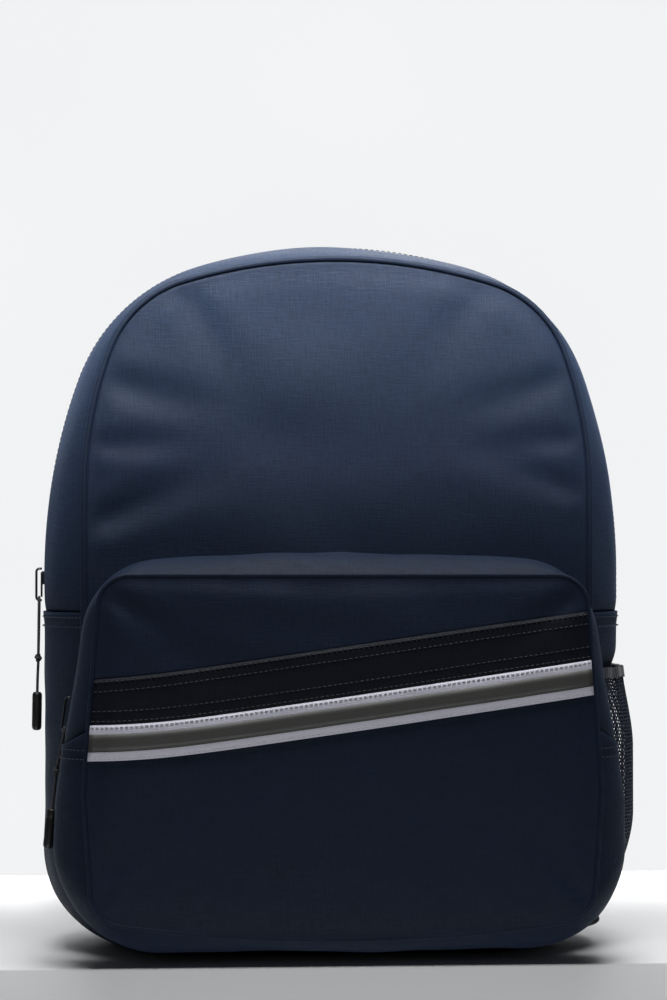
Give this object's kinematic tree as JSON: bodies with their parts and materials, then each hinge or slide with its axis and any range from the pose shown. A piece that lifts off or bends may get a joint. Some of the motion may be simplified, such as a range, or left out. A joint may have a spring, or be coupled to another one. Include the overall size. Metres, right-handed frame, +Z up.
{
  "type": "school backpack",
  "caption": "School backpack with shoulder straps, padded back, zipped front pocket crossed by a diagonal reflective tape, mesh side pocket and haul handle.",
  "frame": {"origin": "middle of the flat base, on the surface the bag stands on", "axes": "+Z up, -Y out of the front panel, +X to the right as seen from the front (the mesh pocket's side)"},
  "size_m": [0.3634, 0.2482, 0.4201],
  "materials": {
    "navy_cloth": "woven polyester, navy",
    "dark_cloth": "woven polyester, near black navy",
    "lining": "plain woven lining",
    "piping": "self fabric over cord",
    "foam": "closed cell foam",
    "board": "stiffener board",
    "zip_tape": "knitted zip tape",
    "zip_coil": "nylon coil",
    "slider": "dark enamelled zinc",
    "pull_cord": "braided cord",
    "pull_barrel": "moulded",
    "tape_white": "white woven tape",
    "tape_silver": "glass bead reflective stripe",
    "mesh": "hexagonal polyester mesh",
    "air_mesh": "spacer mesh over foam",
    "webbing": "ribbed webbing",
    "buckle": "moulded acetal"
  },
  "bodies": {
    "bag": {"front_panel_lower": "navy_cloth", "back_panel": "navy_cloth", "back_foam": "foam", "front_gusset_feet": "navy_cloth", "rear_gusset": "navy_cloth", "lower_gusset": "navy_cloth", "base_board": "board", "piping_front_lower": "piping", "piping_back": "piping", "front_zip_feet": "zip_tape", "rear_zip_tape": "zip_tape", "rear_zip_coil": "zip_coil", "zip_end_tabs": "dark_cloth", "pocket_front_lower": "navy_cloth", "pocket_rear_gusset": "navy_cloth", "pocket_lower_gusset": "navy_cloth", "pocket_rear_tape": "zip_tape", "pocket_rear_coil": "zip_coil", "mesh_pocket": "mesh", "mesh_hem": "piping", "inner_sleeve": "lining", "back_pad_left": "air_mesh", "back_pad_right": "air_mesh", "lumbar_pad": "air_mesh", "strap_yoke": "webbing", "lower_webbing_left": "webbing", "lower_webbing_right": "webbing", "strap_wing_left": "navy_cloth", "strap_wing_right": "navy_cloth"},
    "main_slider": {"main_slider": "slider"},
    "main_pull": {"main_pull_cord": "pull_cord", "main_pull_knot": "pull_cord", "main_pull_barrel": "pull_barrel"},
    "main_flap": {"front_panel_upper": "navy_cloth", "front_gusset": "navy_cloth", "piping_front_upper": "piping", "front_zip_tape": "zip_tape", "front_zip_coil": "zip_coil"},
    "pocket_slider": {"pocket_slider": "slider"},
    "pocket_pull": {"pocket_pull_cord": "pull_cord", "pocket_pull_knot": "pull_cord", "pocket_pull_barrel": "pull_barrel"},
    "pocket_flap": {"pocket_front_upper": "navy_cloth", "pocket_band": "dark_cloth", "reflective_tape": "tape_white", "silver_stripe": "tape_silver", "pocket_front_gusset": "navy_cloth", "pocket_front_tape": "zip_tape", "pocket_front_coil": "zip_coil"},
    "handle": {"handle_webbing": "webbing", "handle_grip": "dark_cloth"},
    "strap_left": {"strap_left": "air_mesh", "strap_webbing_left": "webbing"},
    "strap_right": {"strap_right": "air_mesh", "strap_webbing_right": "webbing"},
    "ladder_left": {"ladder_lock_left": "buckle"},
    "ladder_right": {"ladder_lock_right": "buckle"}
  },
  "joints": [
    {"name": "main_zip_travel", "type": "hinge", "parent": "bag", "child": "main_slider", "pos_m": [0.1613, -0.005, 0.225], "axis": [0, 1, 0], "range_deg": [0, 19.5]},
    {"name": "main_pull_swing", "type": "hinge", "parent": "main_slider", "child": "main_pull", "pos_m": [-0.1762, -0.005, 0.2084], "axis": [0, 1, 0], "range_deg": [0, 120]},
    {"name": "main_flap_open", "type": "hinge", "parent": "bag", "child": "main_flap", "pos_m": [0, -0.0685, 0.2397], "axis": [1, 0, 0], "range_deg": [0, 75]},
    {"name": "pocket_zip_travel", "type": "slide", "parent": "bag", "child": "pocket_slider", "axis": [0.1367, 0, 0.9906], "range_m": [0, 0.046]},
    {"name": "pocket_pull_swing", "type": "hinge", "parent": "pocket_slider", "child": "pocket_pull", "pos_m": [-0.1581, -0.0806, 0.135], "axis": [0, 1, 0], "range_deg": [0, 110]},
    {"name": "pocket_flap_open", "type": "hinge", "parent": "bag", "child": "pocket_flap", "pos_m": [0, -0.1205, 0.11], "axis": [1, 0, 0], "range_deg": [0, 35]},
    {"name": "handle_fold", "type": "hinge", "parent": "bag", "child": "handle", "pos_m": [0, 0.0755, 0.399], "axis": [1, 0, 0], "range_deg": [0, 165]},
    {"name": "strap_left_swing", "type": "hinge", "parent": "bag", "child": "strap_left", "pos_m": [-0.054, 0.0665, 0.346], "axis": [1, 0, 0], "range_deg": [0, 25], "deforming": ["lower_webbing_left"]},
    {"name": "strap_right_swing", "type": "hinge", "parent": "bag", "child": "strap_right", "pos_m": [0.054, 0.0665, 0.346], "axis": [1, 0, 0], "range_deg": [0, 25], "deforming": ["lower_webbing_right"]},
    {"name": "adjuster_left_tilt", "type": "hinge", "parent": "strap_left", "child": "ladder_left", "pos_m": [-0.092, 0.0973, 0.124], "axis": [1, 0, 0], "range_deg": [0, 22]},
    {"name": "adjuster_right_tilt", "type": "hinge", "parent": "strap_right", "child": "ladder_right", "pos_m": [0.092, 0.0973, 0.124], "axis": [1, 0, 0], "range_deg": [0, 22]}
  ]
}
